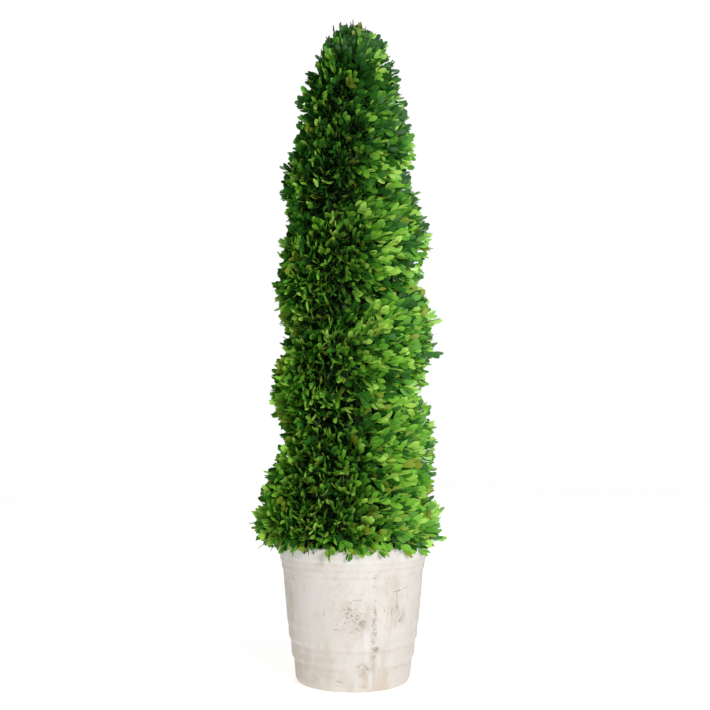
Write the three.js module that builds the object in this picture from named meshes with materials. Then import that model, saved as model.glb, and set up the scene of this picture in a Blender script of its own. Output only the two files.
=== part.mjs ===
// A clipped boxwood spiral topiary in a banded, whitewashed terracotta pot.
// Millimetres, +Z up. The origin is the centre of the pot's flat underside, and -Y is the front.

import * as THREE from 'three';
import { mergeVertices } from 'three/addons/utils/BufferGeometryUtils.js';

// Clearance between pieces that touch.
const GAP = 0.3;

// Pot: a thrown bucket with belts low on the wall and stepped collars under its rim.
const POT_HEIGHT = 256;
const POT_SEGMENTS = 44;
const UNDERSIDE_RADIUS = 93;
const BASE_EDGE_HEIGHT = 13;
const FLOOR_THICKNESS = 16;
const FLOOR_RADIUS = 88;
const MOUTH_RADIUS = 124;
const SHOULDER = 2;

// Bands of the pot's wall from the ground up: the height where each starts, and its two radii.
const POT_BANDS = [
  { from: BASE_EDGE_HEIGHT, low: 103.5, high: 106 },
  { from: 41, low: 109, high: 111.5 },
  { from: 74, low: 114.5, high: 116.5 },
  { from: 100, low: 117.5, high: 127 },
  { from: 204, low: 129, high: 130.5 },
  { from: 217, low: 132, high: 133.5 },
  { from: 229, low: 135.5, high: 138.5 },
];

// Potting mix, filled to a little below the rim.
const SOIL_TOP = 238;
const SOIL_DOME = 3;

// Trunk: one upright stem from the soil to just under the crown's tip.
const TRUNK_TOP = 1152;
const TRUNK_FOOT_RADIUS = 13;
const TRUNK_TIP_RADIUS = 3.5;
const FLARE_RADIUS = 9;
const FLARE_HEIGHT = 14;
const TRUNK_SWAY = 3;
const TRUNK_SWAY_LENGTH = 210;
const TRUNK_SIDES = 10;

// Crown outline: a blunt cone that flares into a skirt over the pot's rim.
const CROWN_BOTTOM = POT_HEIGHT + GAP;
const CROWN_TOP = 1200;
const CROWN_RADIUS = 149;
const SKIRT_HEIGHT = 279;
const SKIRT_FLARE = 26;
const SKIRT_LEAN = 6;
const SPREAD_ABOVE = 66;
const SPREAD_BELOW = 28;

// Clipped groove: one right-handed helix, measured in turns round the crown from +X.
const GROOVE_START = 343;
const GROOVE_PITCH = 192;
const GROOVE_TIGHTENING = 40;
const GROOVE_DEPTH = 28;
const REACH_ABOVE = 72;
const REACH_BELOW = 95;

// Masses: the crown is parted along the groove, and once each turn at the seam behind it.
const SEAM_TURN = 0.25;
const FULL_TURNS = 4;
const SKIRT_LEAST_HEIGHT = 34;
const TIP_BOTTOM = 1115;
const STEPS_AROUND = 26;
const STEPS_UP = 6;
const STEPS_ACROSS = 2;

const terracotta = new THREE.MeshStandardMaterial({ color: 0xe2dcd2, roughness: 0.9, metalness: 0 });
const pottingMix = new THREE.MeshStandardMaterial({ color: 0x3a2a1e, roughness: 1, metalness: 0 });
const bark = new THREE.MeshStandardMaterial({ color: 0x8a7558, roughness: 0.85, metalness: 0 });

const topiary = new THREE.Group();

function addPart(name, geometry, material) {
  const mesh = new THREE.Mesh(geometry, material);
  mesh.name = name;
  topiary.add(mesh);
}

// A lathed solid that stands along +Z, from its outline as [radius, height] pairs.
function turned(outline, segments) {
  const points = outline.map(([radius, height]) => new THREE.Vector2(radius, height));
  return new THREE.LatheGeometry(points, segments).rotateX(Math.PI / 2);
}

// ---- Pot and soil

function potInsideRadius(height) {
  const rise = (height - FLOOR_THICKNESS) / (POT_HEIGHT - FLOOR_THICKNESS);
  return THREE.MathUtils.lerp(FLOOR_RADIUS, MOUTH_RADIUS, rise);
}

function potOutline() {
  const outline = [[0, 0], [UNDERSIDE_RADIUS, 0]];
  const edge = POT_BANDS[0].low - SHOULDER - UNDERSIDE_RADIUS;
  for (const angle of [Math.PI / 6, Math.PI / 3]) {
    const out = edge * Math.sin(angle);
    const up = BASE_EDGE_HEIGHT * (1 - Math.cos(angle));
    outline.push([UNDERSIDE_RADIUS + out, up]);
  }
  POT_BANDS.forEach(({ from, low, high }, index) => {
    const top = index + 1 < POT_BANDS.length ? POT_BANDS[index + 1].from : POT_HEIGHT;
    outline.push([low - SHOULDER, from]);
    outline.push([low, from + SHOULDER]);
    outline.push([high, top - SHOULDER]);
    if (top === POT_HEIGHT) {
      outline.push([high - SHOULDER, top]);
    }
  });
  outline.push([MOUTH_RADIUS + SHOULDER, POT_HEIGHT]);
  outline.push([MOUTH_RADIUS, POT_HEIGHT - SHOULDER]);
  outline.push([FLOOR_RADIUS, FLOOR_THICKNESS]);
  outline.push([0, FLOOR_THICKNESS]);
  return outline;
}

function soilOutline() {
  const bottom = FLOOR_THICKNESS + GAP;
  const edge = SOIL_TOP - SOIL_DOME;
  return [
    [0, bottom],
    [potInsideRadius(bottom) - 2 * GAP, bottom],
    [potInsideRadius(edge) - 2 * GAP, edge],
    [TRUNK_FOOT_RADIUS + 2 * FLARE_RADIUS, SOIL_TOP],
    [0, SOIL_TOP],
  ];
}

// ---- Trunk

function trunkRadius(height) {
  const foot = SOIL_TOP + GAP;
  const rise = THREE.MathUtils.clamp((height - foot) / (TRUNK_TOP - foot), 0, 1);
  const flare = FLARE_RADIUS * Math.exp(-(height - foot) / FLARE_HEIGHT);
  return THREE.MathUtils.lerp(TRUNK_FOOT_RADIUS, TRUNK_TIP_RADIUS, rise) + flare;
}

function trunkCentre(height) {
  const along = (height - SOIL_TOP) / TRUNK_SWAY_LENGTH;
  return new THREE.Vector2(Math.sin(along), Math.cos(1.3 * along) - 1).multiplyScalar(TRUNK_SWAY);
}

// Heights of the trunk's rings, close together at the flare.
function trunkHeights() {
  const heights = [];
  const foot = SOIL_TOP + GAP;
  for (let height = foot; height < TRUNK_TOP - 10; height += height < foot + 40 ? 6 : 34) {
    heights.push(height);
  }
  heights.push(TRUNK_TOP);
  return heights;
}

function trunkGeometry() {
  const heights = trunkHeights();
  const outline = heights.map((height) => [trunkRadius(height), height]);
  outline.unshift([0, heights[0]]);
  outline.push([0, TRUNK_TOP]);
  const geometry = turned(outline, TRUNK_SIDES);
  return moved(geometry, (point) => {
    const centre = trunkCentre(point.z);
    point.x += centre.x;
    point.y += centre.y;
  });
}

// Moves every vertex of a geometry, and leaves its positions only.
function moved(geometry, move) {
  const positions = geometry.attributes.position;
  const point = new THREE.Vector3();
  for (let i = 0; i < positions.count; i += 1) {
    point.fromBufferAttribute(positions, i);
    move(point);
    positions.setXYZ(i, point.x, point.y, point.z);
  }
  geometry.deleteAttribute('normal');
  geometry.deleteAttribute('uv');
  return mergeVertices(geometry);
}

// ---- Crown surface

function grooveHeight(turn) {
  const tightening = GROOVE_TIGHTENING * Math.max(0, turn - 3) ** 2;
  return GROOVE_START + GROOVE_PITCH * turn - tightening;
}

// The groove runs out in the skirt below and under the tip above.
function grooveDepth(turn) {
  const { smoothstep } = THREE.MathUtils;
  return GROOVE_DEPTH * smoothstep(turn, -0.35, 0.15) * (1 - smoothstep(turn, 2.6, 4.6));
}

// How far the clipped groove cuts in at a place on the crown, from the nearest of its passes.
function grooveCut(turn, height) {
  let cut = 0;
  for (let pass = -1; pass <= FULL_TURNS; pass += 1) {
    const turnThere = THREE.MathUtils.euclideanModulo(turn, 1) + pass;
    const above = height - grooveHeight(turnThere);
    const reach = above > 0 ? REACH_ABOVE : REACH_BELOW;
    const nearness = Math.max(0, 1 - Math.abs(above) / reach);
    cut = Math.max(cut, grooveDepth(turnThere) * nearness ** 1.8);
  }
  return cut;
}

// Soft unevenness of clipped foliage.
function unevenness(angle, height) {
  return 2.6 * Math.sin(3 * angle + height / 83)
    + 2.0 * Math.sin(5 * angle - height / 37 + 1)
    + 1.6 * Math.sin(8 * angle + height / 24 + 2);
}

function crownRadius(turn, height) {
  const angle = 2 * Math.PI * turn;
  const rise = THREE.MathUtils.clamp((height - CROWN_BOTTOM) / (CROWN_TOP - CROWN_BOTTOM), 0, 1);
  const cone = CROWN_RADIUS * (1 - rise ** 3.6) ** 0.55;
  const spread = height > SKIRT_HEIGHT ? SPREAD_ABOVE : SPREAD_BELOW;
  const nearSkirt = Math.exp(-(((height - SKIRT_HEIGHT) / spread) ** 2));
  const flare = (SKIRT_FLARE - SKIRT_LEAN * Math.cos(angle)) * nearSkirt;
  const roughness = unevenness(angle, height) * Math.min(1, cone / CROWN_RADIUS + 0.2);
  return cone + flare + roughness - grooveCut(turn, height);
}

// ---- Masses of foliage

// Gives each mass its own green.
function foliageMaterial(index) {
  const color = new THREE.Color().setHSL(0.27 + 0.012 * (index % 3), 0.5, 0.2 + 0.03 * (index % 4));
  return new THREE.MeshStandardMaterial({ color, roughness: 0.6, metalness: 0 });
}

// Puts the facets of a box's lower face the same way round as those of its upper face, so that
// a mass and the one under it share each facet across the gap.
function matchLowerFacets(geometry) {
  const lower = geometry.groups[3];
  const index = geometry.index;
  for (let i = lower.start; i < lower.start + lower.count; i += 6) {
    const [a, b, d, c] = [0, 1, 2, 4].map((corner) => index.getX(i + corner));
    [a, b, c, a, c, d].forEach((vertex, corner) => index.setX(i + corner, vertex));
  }
  geometry.clearGroups();
  return geometry;
}

// One turn of foliage: a box bent round the trunk, between two heights that vary with the turn.
function bentMass(startTurn, lowest, highest) {
  const box = new THREE.BoxGeometry(1, 1, 1, STEPS_AROUND, STEPS_UP, STEPS_ACROSS);
  return moved(matchLowerFacets(box), (point) => {
    const along = point.x + 0.5;
    const turn = startTurn + along;
    const height = THREE.MathUtils.lerp(
      lowest(turn) + GAP / 2,
      highest(turn) - GAP / 2,
      point.y + 0.5,
    );
    const angle = 2 * Math.PI * turn;
    const outward = new THREE.Vector2(Math.cos(angle), Math.sin(angle));
    const holeRadius = (trunkRadius(height) + GAP) / Math.cos(Math.PI / STEPS_AROUND);
    const inner = outward.clone().multiplyScalar(holeRadius).add(trunkCentre(height));
    const outer = outward.clone().multiplyScalar(crownRadius(turn, height));
    const place = inner.lerp(outer, point.z + 0.5);
    // The two ends stand clear of the seam.
    const seamShift = Math.abs(along - 0.5) === 0.5 ? Math.sign(0.5 - along) * GAP / 2 : 0;
    point.x = place.x - outward.y * seamShift;
    point.y = place.y + outward.x * seamShift;
    point.z = height;
  });
}

// The crown's rounded tip, hollowed for the top of the trunk.
function tipGeometry() {
  const bottom = TIP_BOTTOM + GAP / 2;
  const steps = 8;
  const outline = [[0, TRUNK_TOP + GAP], [trunkRadius(TRUNK_TOP) + 3 * GAP, TRUNK_TOP + GAP]];
  outline.push([trunkRadius(bottom) + 3 * GAP, bottom]);
  for (let i = 0; i < steps; i += 1) {
    const height = THREE.MathUtils.lerp(bottom, CROWN_TOP, Math.sin((Math.PI / 2) * (i / steps)));
    outline.push([crownRadius(0, height), height]);
  }
  outline.push([0, CROWN_TOP]);
  const hollow = TRUNK_TIP_RADIUS * 3;
  return moved(turned(outline, STEPS_AROUND), (point) => {
    const radius = Math.hypot(point.x, point.y);
    if (radius < 1e-6) {
      return;
    }
    if (radius < hollow && point.z <= TRUNK_TOP + GAP) {
      const centre = trunkCentre(point.z);
      point.x += centre.x;
      point.y += centre.y;
      return;
    }
    const angle = Math.atan2(point.y, point.x);
    const stretch = crownRadius(angle / (2 * Math.PI), point.z) / radius;
    point.x *= stretch;
    point.y *= stretch;
  });
}

// ---- Assembly

addPart('pot', turned(potOutline(), POT_SEGMENTS), terracotta);
addPart('soil', turned(soilOutline(), POT_SEGMENTS), pottingMix);
addPart('trunk', trunkGeometry(), bark);

const skirtTop = (turn) => Math.max(grooveHeight(turn), CROWN_BOTTOM + SKIRT_LEAST_HEIGHT);
const skirt = bentMass(SEAM_TURN - 1, () => CROWN_BOTTOM - GAP / 2, skirtTop);
addPart('foliage_skirt', skirt, foliageMaterial(0));

for (let index = 1; index <= FULL_TURNS; index += 1) {
  const turn = bentMass(SEAM_TURN + index - 1, (at) => skirtTop(at - 1), grooveHeight);
  addPart(`foliage_turn_${index}`, turn, foliageMaterial(index));
}

const lastTurn = bentMass(SEAM_TURN + FULL_TURNS, (at) => grooveHeight(at - 1), () => TIP_BOTTOM);
addPart('foliage_last_turn', lastTurn, foliageMaterial(FULL_TURNS + 1));
addPart('foliage_tip', tipGeometry(), foliageMaterial(FULL_TURNS + 2));

export default topiary;
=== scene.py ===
"""The finished look of a potted boxwood spiral topiary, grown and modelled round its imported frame.

Lengths are in metres and +Z is up. A turn is a share of a full circle round the crown, counted from +X,
and a rise is a distance up the clipped surface from the crown's foot.
"""

import math

import bmesh
import bpy
import numpy as np
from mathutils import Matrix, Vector, noise
from mathutils.bvhtree import BVHTree


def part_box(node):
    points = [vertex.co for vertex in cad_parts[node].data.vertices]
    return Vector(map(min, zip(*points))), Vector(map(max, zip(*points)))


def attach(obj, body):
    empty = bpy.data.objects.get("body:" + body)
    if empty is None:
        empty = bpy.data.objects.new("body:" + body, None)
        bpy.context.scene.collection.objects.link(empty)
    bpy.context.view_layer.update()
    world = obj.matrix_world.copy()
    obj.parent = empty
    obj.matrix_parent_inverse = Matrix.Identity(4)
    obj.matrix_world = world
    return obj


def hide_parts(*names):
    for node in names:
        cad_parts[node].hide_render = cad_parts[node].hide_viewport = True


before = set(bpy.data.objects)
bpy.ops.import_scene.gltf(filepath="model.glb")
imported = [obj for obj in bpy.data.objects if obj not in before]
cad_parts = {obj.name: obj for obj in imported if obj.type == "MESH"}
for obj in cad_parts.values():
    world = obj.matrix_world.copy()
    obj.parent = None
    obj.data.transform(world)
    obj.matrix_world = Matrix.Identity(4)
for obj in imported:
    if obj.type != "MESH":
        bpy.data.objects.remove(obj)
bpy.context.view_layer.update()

bl_info = {
    "name": "Boxwood spiral topiary",
    "version": (1, 0, 0),
    "blender": (4, 5, 0),
    "location": "3D View > Sidebar > Topiary",
    "description": "Grows a clipped spiral topiary and finishes its pot round a packed frame",
    "category": "Object",
}

BODY = "root"
MASSES = [name for name in sorted(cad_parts) if name.startswith("foliage_")]

_, POT_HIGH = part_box("pot")
SOIL_LOW, SOIL_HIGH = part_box("soil")
TRUNK_LOW, TRUNK_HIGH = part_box("trunk")
TIP_LOW, TIP_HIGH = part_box("foliage_tip")
SKIRT_LOW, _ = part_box("foliage_skirt")

# Bands of the pot's wall from the ground up: the height where each starts, its two radii, and the
# height over which the wall swells out to it.
POT_BANDS = [
    (0.013, 0.1046, 0.1066, 0.000),
    (0.040, 0.1110, 0.1122, 0.013),
    (0.073, 0.1158, 0.1170, 0.012),
    (0.100, 0.1182, 0.1272, 0.012),
    (0.204, 0.1290, 0.1305, 0.004),
    (0.217, 0.1320, 0.1335, 0.004),
    (0.229, 0.1355, 0.1385, 0.005),
]
UNDERSIDE_RADIUS = 0.093
MOUTH_RADIUS = 0.124
WALL_THICKNESS = 0.0125

UP = np.array([0.0, 0.0, 1.0])


def linear(red, green, blue):
    """A scene-linear colour from its three everyday values of 0 to 255."""
    shares = (value / 255 for value in (red, green, blue))
    return tuple(s / 12.92 if s <= 0.04045 else ((s + 0.055) / 1.055) ** 2.4 for s in shares)


def colour(name, description, value):
    """A colour that a user can change."""
    return bpy.props.FloatVectorProperty(
        name=name, description=description, default=value, size=3, min=0, max=1, subtype="COLOR"
    )


def length(name, description, value):
    """A length in metres that a user can change."""
    return bpy.props.FloatProperty(
        name=name, description=description, default=value, min=0, unit="LENGTH", precision=4
    )


class PotSettings(bpy.types.PropertyGroup):
    """Sizes and colours of the pot and its soil."""

    roundness: length("Edge rounding", "How far the lip's edges are worn round", 0.0034)
    unevenness: length("Unevenness", "How far the thrown wall wanders", 0.0009)
    lime: colour("Lime", "The limewash where its last coat is thick", linear(219, 214, 209))
    wash: colour("Whitewash", "The limewash where it is whole", linear(214, 206, 197))
    stain: colour("Stain", "The limewash where it is stained", linear(200, 187, 173))
    clay: colour("Clay", "The clay where the wash has worn away", linear(150, 128, 113))
    soil: colour("Potting mix", "The potting mix", linear(58, 42, 30))


class BranchSettings(bpy.types.PropertyGroup):
    """Sizes and colours of the wood."""

    bough_patch: length("Bough patch", "Side of the clipped surface that one bough feeds", 0.115)
    spray_patch: length("Spray patch", "Side of the clipped surface that one spray fills", 0.0146)
    stem_radius: length("Stem radius", "Radius of a spray's own stem", 0.0008)
    spray_length: length("Spray length", "Length of a spray's leafy stem", 0.044)
    bark: colour("Bark", "Bark of the trunk and boughs", linear(88, 74, 58))
    furrow: colour("Furrow", "Cracks between the plates of bark", linear(44, 35, 27))
    twig: colour("Twig", "Year-old twigs", linear(92, 82, 46))
    shoot: colour("Shoot", "Young green stems", linear(98, 116, 44))


class LeafSettings(bpy.types.PropertyGroup):
    """Sizes and colours of the leaves."""

    length: length("Leaf length", "Length of a full-grown leaf", 0.0248)
    width: length("Leaf width", "Width of a full-grown leaf", 0.0100)
    bottle: colour("Bottle green", "Oldest leaves", linear(44, 92, 33))
    deep: colour("Deep green", "Old leaves", linear(54, 113, 35))
    middle: colour("Middle green", "Grown leaves", linear(94, 158, 46))
    fresh: colour("Fresh green", "This year's leaves", linear(132, 194, 60))
    lime: colour("Lime green", "Young leaves at the tips", linear(170, 216, 86))
    olive: colour("Olive green", "Ageing leaves", linear(140, 160, 48))
    # Darker than the leaves' age alone makes them: painted shade on the leaves deep inside the crown.
    shade: colour("Shade green", "Old leaves deep inside the crown", linear(42, 66, 32))
    straw: colour("Straw", "Dying leaves", linear(206, 184, 60))


class StageSettings(bpy.types.PropertyGroup):
    """The floor, lights and camera."""

    floor: colour("Floor", "The plain floor", (0.92, 0.92, 0.92))
    distance: length("Camera distance", "From the trunk to the camera", 2.5)
    eye_height: length("Eye height", "Height of the camera above the floor", 0.591)
    lens: bpy.props.FloatProperty(
        name="Lens", description="Focal length", default=69.7, min=1, unit="CAMERA"
    )


# ---- Shader nodes


class Value:
    """One number in a material. Arithmetic on it adds Math nodes."""

    def __init__(self, finish, socket):
        self.finish = finish
        self.socket = socket

    def maths(self, operation, *values):
        """The result of one Math node."""
        node = self.finish.node("Math", {"operation": operation}, dict(enumerate(values)))
        return Value(self.finish, node.outputs[0])

    def __add__(self, other):
        return self.maths("ADD", self, other)

    def __sub__(self, other):
        return self.maths("SUBTRACT", self, other)

    def __rsub__(self, other):
        return self.maths("SUBTRACT", other, self)

    def __mul__(self, other):
        return self.maths("MULTIPLY", self, other)

    def __pow__(self, power):
        return self.maths("POWER", self, power)

    __radd__ = __add__
    __rmul__ = __mul__

    def between(self, low, high):
        """0 below low, 1 above high and smooth between them."""
        node = self.finish.node(
            "MapRange",
            {"interpolation_type": "SMOOTHSTEP"},
            {"Value": self, "From Min": low, "From Max": high},
        )
        return Value(self.finish, node.outputs[0])

    def hump(self, centre, reach):
        """1 at centre, falling smoothly to 0 at reach on both sides."""
        away = self.maths("ABSOLUTE", self - centre)
        return (1 - away * (1 / reach)).between(0, 1)


class Nodes:
    """The nodes of a material or of the world, and the shader that they feed."""

    def __init__(self, owner, shader):
        owner.use_nodes = True
        self.tree = owner.node_tree
        self.shader = self.tree.nodes[shader]

    def node(self, kind, settings=(), sockets=()):
        """Adds a node, gives it its settings, then fills its sockets, by name or by number."""
        node = self.tree.nodes.new("ShaderNode" + kind)
        for name, value in dict(settings).items():
            setattr(node, name, value)
        for name, value in dict(sockets).items():
            self.feed(node.inputs[name], value)
        return node

    def feed(self, socket, value):
        """Links a socket to a value or an output, or sets it to a number or a colour."""
        if isinstance(value, Value):
            self.tree.links.new(value.socket, socket)
        elif isinstance(value, bpy.types.NodeSocket):
            self.tree.links.new(value, socket)
        elif socket.type == "RGBA":
            socket.default_value = (*value, 1)
        else:
            socket.default_value = value

    def set(self, **sockets):
        """Fills the shader's own sockets, named with _ for a space."""
        for name, value in sockets.items():
            self.feed(self.shader.inputs[name.replace("_", " ")], value)


class Finish(Nodes):
    """The nodes of one material, read in the object's own place."""

    def __init__(self, name):
        self.material = bpy.data.materials.new(name)
        super().__init__(self.material, "Principled BSDF")
        self.place = None

    def object_place(self):
        """The place on the piece, in metres."""
        if self.place is None:
            self.place = self.node("TexCoord").outputs["Object"]
        return self.place

    def axes(self):
        """The place's three coordinates."""
        parts = self.node("SeparateXYZ", sockets={0: self.object_place()})
        return [Value(self, output) for output in parts.outputs]

    def scaled_place(self, stretch):
        """The place, drawn together along each axis by a share of its own."""
        return self.node(
            "Mapping", {"vector_type": "POINT"}, {"Vector": self.object_place(), "Scale": stretch}
        ).outputs[0]

    def noise(self, scale, detail=3.0, roughness=0.55, stretch=(1, 1, 1), distortion=0.0):
        """Cloudy noise from 0 to 1, with scale features to the metre."""
        sockets = {
            "Vector": self.scaled_place(stretch), "Scale": scale, "Detail": detail,
            "Roughness": roughness, "Distortion": distortion,
        }
        return Value(self, self.node("TexNoise", {}, sockets).outputs[0])

    def cells(self, feature, scale, stretch=(1, 1, 1), randomness=1.0):
        """Distances in a pattern of cells."""
        node = self.node(
            "TexVoronoi",
            {"feature": feature},
            {"Vector": self.scaled_place(stretch), "Scale": scale, "Randomness": randomness},
        )
        return Value(self, node.outputs["Distance"])

    def mix(self, factor, first, second):
        """A colour between two colours."""
        node = self.node("Mix", {"data_type": "RGBA"}, {0: factor, 6: first, 7: second})
        return node.outputs[2]

    def relief(self, height, depth):
        """A normal from a height of 0 to 1 that stands for depth metres."""
        return self.node("Bump", {}, {"Height": height, "Distance": depth, "Strength": 1.0}).outputs[0]


# ---- Meshes


def unit(vectors):
    """Vectors of length 1."""
    return vectors / np.maximum(np.linalg.norm(vectors, axis=-1, keepdims=True), 1e-12)


def lerp(first, second, share):
    """What lies a share of the way from first to second."""
    return first + (second - first) * share


def finished_piece(mesh, name, materials, slot_name, *replaced):
    """Makes a mesh a piece of the object, which rides on its body."""
    piece = bpy.data.objects.new(name, mesh)
    bpy.context.scene.collection.objects.link(piece)
    for material in materials:
        mesh.materials.append(material)
    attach(piece, BODY)
    if replaced:
        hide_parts(*replaced)


def mesh_from_bmesh(bm, name):
    """Turns a bmesh into a smooth-shaded mesh whose faces point outwards."""
    bmesh.ops.recalc_face_normals(bm, faces=bm.faces)
    mesh = bpy.data.meshes.new(name)
    bm.to_mesh(mesh)
    bm.free()
    mesh.shade_smooth()
    return mesh


def spun(points, segments):
    """A bmesh turned round the upright axis from a half section of radii and heights."""
    bm = bmesh.new()
    outline = [bm.verts.new((radius, 0, height)) for radius, height in points]
    edges = [bm.edges.new(pair) for pair in zip(outline, outline[1:])]
    bmesh.ops.spin(
        bm, geom=[*outline, *edges], cent=(0, 0, 0), axis=(0, 0, 1), angle=2 * math.pi, steps=segments,
        use_merge=True,
    )
    bmesh.ops.remove_doubles(bm, verts=bm.verts, dist=1e-6)
    return bm


def joined_copies(name, points, faces, tints):
    """One smooth mesh of many copies of a small shape.

    points has each copy's points, faces lists the shape's faces by point number, and tints gives each
    copy's material number.
    """
    copies, count = points.shape[:2]
    mesh = bpy.data.meshes.new(name)
    corners = np.concatenate([np.array(face) for face in faces])
    sizes = np.array([len(face) for face in faces])
    all_corners = (corners + count * np.arange(copies)[:, None]).ravel()
    all_sizes = np.tile(sizes, copies)
    mesh.vertices.add(copies * count)
    mesh.vertices.foreach_set("co", points.astype(np.float32).ravel())
    mesh.loops.add(len(all_corners))
    mesh.loops.foreach_set("vertex_index", all_corners.astype(np.int32))
    mesh.polygons.add(len(all_sizes))
    mesh.polygons.foreach_set("loop_start", (np.cumsum(all_sizes) - all_sizes).astype(np.int32))
    mesh.polygons.foreach_set("material_index", np.repeat(tints, len(faces)).astype(np.int32))
    mesh.update(calc_edges=True)
    mesh.shade_smooth()
    return mesh


def tube_faces(rings, sides):
    """Faces of a tube with pointed ends: its rings in order, then its first and last points."""
    start, end = rings * sides, rings * sides + 1
    faces = []
    for side in range(sides):
        after = (side + 1) % sides
        for ring in range(rings - 1):
            low, high = ring * sides, (ring + 1) * sides
            faces.append((low + side, low + after, high + after, high + side))
        faces.append((start, after, side))
        faces.append((end, (rings - 1) * sides + side, (rings - 1) * sides + after))
    return faces


def tube_points(lines, radii, sides):
    """Points of tubes round many lines: lines is (tubes, rings, 3) and radii is (tubes, rings)."""
    along = unit(np.gradient(lines, axis=1))
    spare = np.where(np.abs(along[..., 2:]) < 0.9, [0.0, 0.0, 1.0], [1.0, 0.0, 0.0])
    across = unit(np.cross(along, spare))
    upright = np.cross(across, along)
    angles = 2 * math.pi * np.arange(sides) / sides
    ring = across[:, :, None] * np.cos(angles)[:, None] + upright[:, :, None] * -np.sin(angles)[:, None]
    walls = lines[:, :, None] + ring * radii[:, :, None, None]
    ends = lines[:, [0, -1]] + along[:, [0, -1]] * radii[:, [0, -1], None] * [[-0.5], [0.5]]
    return np.concatenate([walls.reshape(len(lines), -1, 3), ends], axis=1)


# ---- The crown's clipped surface


class Crown:
    """The clipped surface of the crown, measured out from the trunk over a grid of turns and rises.

    Below the tip's foot a rise is a height, and above it the surface is measured over the dome.
    """

    TURNS = 240
    RISES = 260
    # How far out the measurements start, and how far inside the crown's ends they stay.
    FAR = 1.0
    INSET = 0.0008
    # How many times the measured surface is evened out.
    ROUNDING = 16
    # The distance over which the surface's slope is read, the least radius it is read at, and how far
    # under the very top it turns to face straight up.
    SLOPE_STEP = 0.006
    LEAST_RADIUS = 0.02
    TOP_BLEND = 0.03

    def __init__(self, masses):
        corners, faces, owners = [], [], []
        for index, name in enumerate(masses):
            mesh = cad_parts[name].data
            first = len(corners)
            corners += [vertex.co.copy() for vertex in mesh.vertices]
            faces += [[first + v for v in face.vertices] for face in mesh.polygons]
            owners += [index] * len(mesh.polygons)
        solids = BVHTree.FromPolygons(corners, faces)
        self.foot = SKIRT_LOW.z
        self.straight = TIP_LOW.z - self.foot
        self.dome = math.pi / 2 * (TIP_HIGH.z - TIP_LOW.z)
        self.top = self.straight + self.dome
        self.reach = np.zeros((self.RISES + 1, self.TURNS))
        self.owner = np.zeros((self.RISES + 1, self.TURNS), int)
        for row in reversed(range(self.RISES + 1)):
            rise = min(max(self.top * row / self.RISES, self.INSET), self.top - self.INSET)
            for column in range(self.TURNS):
                hub, outward = self.ray(column / self.TURNS, rise)
                _, _, face, gone = solids.ray_cast(Vector(hub + outward * self.FAR), Vector(-outward))
                if face is None:
                    self.reach[row, column] = self.reach[row + 1, column]
                    self.owner[row, column] = self.owner[row + 1, column]
                else:
                    self.reach[row, column] = self.FAR - gone
                    self.owner[row, column] = owners[face]
        self.soften(self.ROUNDING)

    def soften(self, passes):
        """Rounds off the facets of the measured surface."""
        for _ in range(passes):
            rows = np.pad(self.reach, ((1, 1), (0, 0)), mode="edge")
            self.reach = (rows[:-2] + 2 * rows[1:-1] + rows[2:]) / 4
            around = np.roll(self.reach, 1, axis=1) + np.roll(self.reach, -1, axis=1)
            self.reach = (around + 2 * self.reach) / 4

    def over_dome(self, rise):
        """How far up the dome a rise is: 0 at the dome's foot and 1 at the very top."""
        return (rise - self.straight) / self.dome

    def ray(self, turn, rise):
        """Where a measurement starts on the trunk's line, and its outward direction."""
        turn, rise = np.broadcast_arrays(np.asarray(turn, float), np.asarray(rise, float))
        tilt = np.clip(self.over_dome(rise), 0, 1) * math.pi / 2
        angle = 2 * math.pi * turn
        height = self.foot + np.minimum(rise, self.straight)
        hub = np.stack([0 * height, 0 * height, height], axis=-1)
        level = np.cos(tilt)
        outward = np.stack([np.cos(angle) * level, np.sin(angle) * level, np.sin(tilt)], axis=-1)
        return hub, outward

    def cells(self, turn, rise):
        """The grid cells at some places, and the shares of the way across them."""
        row = np.clip(np.asarray(rise, float) / self.top, 0, 1) * self.RISES
        column = np.mod(turn, 1) * self.TURNS
        low, left = np.minimum(row.astype(int), self.RISES - 1), column.astype(int) % self.TURNS
        return low, left, row - low, column - np.floor(column)

    def radius(self, turn, rise):
        """How far the surface is from the trunk's line."""
        low, left, up, across = self.cells(turn, rise)
        right = (left + 1) % self.TURNS
        lower = lerp(self.reach[low, left], self.reach[low, right], across)
        upper = lerp(self.reach[low + 1, left], self.reach[low + 1, right], across)
        return lerp(lower, upper, up)

    def mass_at(self, turn, rise):
        """The number of the mass that the surface belongs to."""
        low, left, _, _ = self.cells(turn, rise)
        return self.owner[low, left]

    def point(self, turn, rise, depth=0.0):
        """Places under the surface by depth, measured towards the trunk's line."""
        hub, outward = self.ray(turn, rise)
        return hub + outward * (self.radius(turn, rise) - depth)[..., None]

    def normal(self, turn, rise):
        """The directions that face straight out of the surface."""
        small = self.SLOPE_STEP
        girth = 2 * math.pi * np.maximum(self.radius(turn, rise), self.LEAST_RADIUS)
        around = self.point(turn + small / girth, rise) - self.point(turn - small / girth, rise)
        low, high = np.maximum(rise - small, 0), np.minimum(rise + small, self.top)
        upward = self.point(turn, high) - self.point(turn, low)
        normal = unit(np.cross(around, upward))
        near_top = np.clip((rise - self.top + self.TOP_BLEND) / self.TOP_BLEND, 0, 1)[..., None]
        return unit(lerp(normal, UP, near_top))


# ---- Growth


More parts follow.
